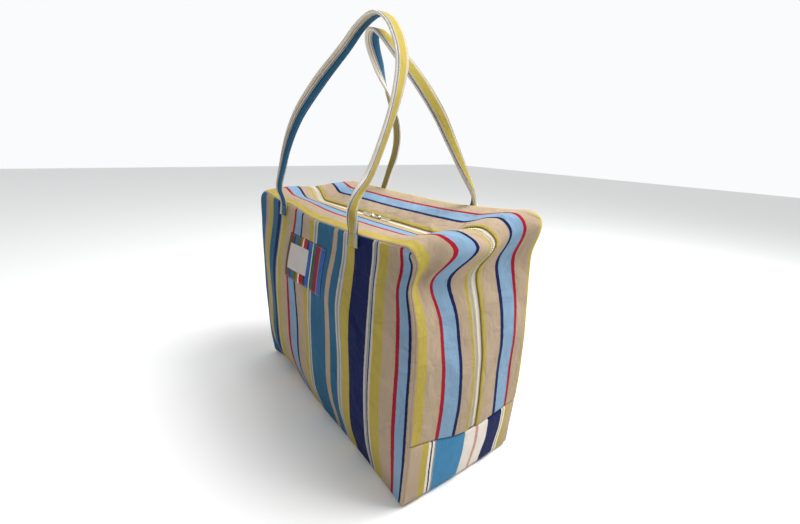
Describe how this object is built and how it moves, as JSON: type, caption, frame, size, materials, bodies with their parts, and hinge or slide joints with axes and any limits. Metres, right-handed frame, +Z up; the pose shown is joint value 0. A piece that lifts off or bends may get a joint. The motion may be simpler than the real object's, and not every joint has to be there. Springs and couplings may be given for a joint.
{
  "type": "zip-top canvas tote bag",
  "caption": "Large box-shaped striped canvas tote bag with a zipped gusset over the top and down both ends, a turned-up base panel and two long shoulder handles.",
  "frame": {"origin": "middle of the base, on the surface that the bag stands on", "axes": "+X along the bag's width, +Y from the front panel with the label to the back panel, +Z up"},
  "size_m": [0.5, 0.2329, 0.6575],
  "materials": {
    "striped_canvas": "woven cotton canvas with printed-width yarn-dyed stripes, matt",
    "strap_canvas": "doubled woven cotton canvas, matt",
    "binding_tape": "twill binding tape, matt",
    "woven_label": "woven satin label",
    "zip_tape": "woven polyester tape",
    "zip_teeth": "moulded acetal",
    "zip_metal": "die-cast zinc, nickel plated"
  },
  "bodies": {
    "bag": {"front_panel": "striped_canvas", "back_panel": "striped_canvas", "base_panel": "striped_canvas", "front_left_gusset": "striped_canvas", "front_right_gusset": "striped_canvas", "back_left_gusset": "striped_canvas", "back_right_gusset": "striped_canvas", "front_left_tape": "zip_tape", "front_right_tape": "zip_tape", "back_left_tape": "zip_tape", "back_right_tape": "zip_tape", "front_left_teeth": "zip_teeth", "front_right_teeth": "zip_teeth", "back_left_teeth": "zip_teeth", "back_right_teeth": "zip_teeth", "front_seam_binding": "binding_tape", "back_seam_binding": "binding_tape", "front_handle_left_end": "strap_canvas", "front_handle_right_end": "strap_canvas", "back_handle_left_end": "strap_canvas", "back_handle_right_end": "strap_canvas", "label": "woven_label"},
    "right_slider": {"right_slider": "zip_metal"},
    "left_slider": {"left_slider": "zip_metal"},
    "right_pull": {"right_pull": "zip_metal"},
    "left_pull": {"left_pull": "zip_metal"},
    "front_flap": {"front_top_flap": "striped_canvas", "front_top_tape": "zip_tape", "front_top_teeth": "zip_teeth"},
    "back_flap": {"back_top_flap": "striped_canvas", "back_top_tape": "zip_tape", "back_top_teeth": "zip_teeth"},
    "front_handle": {"front_handle": "strap_canvas"},
    "back_handle": {"back_handle": "strap_canvas"}
  },
  "joints": [
    {"name": "zip_open", "type": "slide", "parent": "bag", "child": "right_slider", "axis": [1, 0, 0], "range_m": [0, 0.138]},
    {"name": "left_slider_slide", "type": "slide", "parent": "bag", "child": "left_slider", "axis": [1, 0, 0], "range_m": [-0.162, 0]},
    {"name": "front_flap_fold", "type": "hinge", "parent": "bag", "child": "front_flap", "pos_m": [0, -0.1076, 0.37788], "axis": [-1, 0, 0], "range_deg": [0, 66.05]},
    {"name": "back_flap_fold", "type": "hinge", "parent": "bag", "child": "back_flap", "pos_m": [0, 0.1076, 0.37788], "axis": [1, 0, 0], "range_deg": [0, 66.05]},
    {"name": "right_pull_swing", "type": "hinge", "parent": "right_slider", "child": "right_pull", "pos_m": [0.022, 0, 0.35081], "axis": [0, -1, 0], "range_deg": [0, 100]},
    {"name": "left_pull_swing", "type": "hinge", "parent": "left_slider", "child": "left_pull", "pos_m": [0.002, 0, 0.35081], "axis": [0, 1, 0], "range_deg": [0, 100]},
    {"name": "front_handle_swing", "type": "hinge", "parent": "bag", "child": "front_handle", "pos_m": [0, -0.1154, 0.35625], "axis": [1, 0, 0], "range_deg": [0, 150]},
    {"name": "back_handle_swing", "type": "hinge", "parent": "bag", "child": "back_handle", "pos_m": [0, 0.1154, 0.35625], "axis": [-1, 0, 0], "range_deg": [0, 150]}
  ],
  "couplings": [
    {"joint": "left_slider_slide", "follows": "zip_open", "ratio": -1.1739},
    {"joint": "front_flap_fold", "follows": "zip_open", "rad_per_m": 8.3472},
    {"joint": "back_flap_fold", "follows": "zip_open", "rad_per_m": 8.3472}
  ]
}
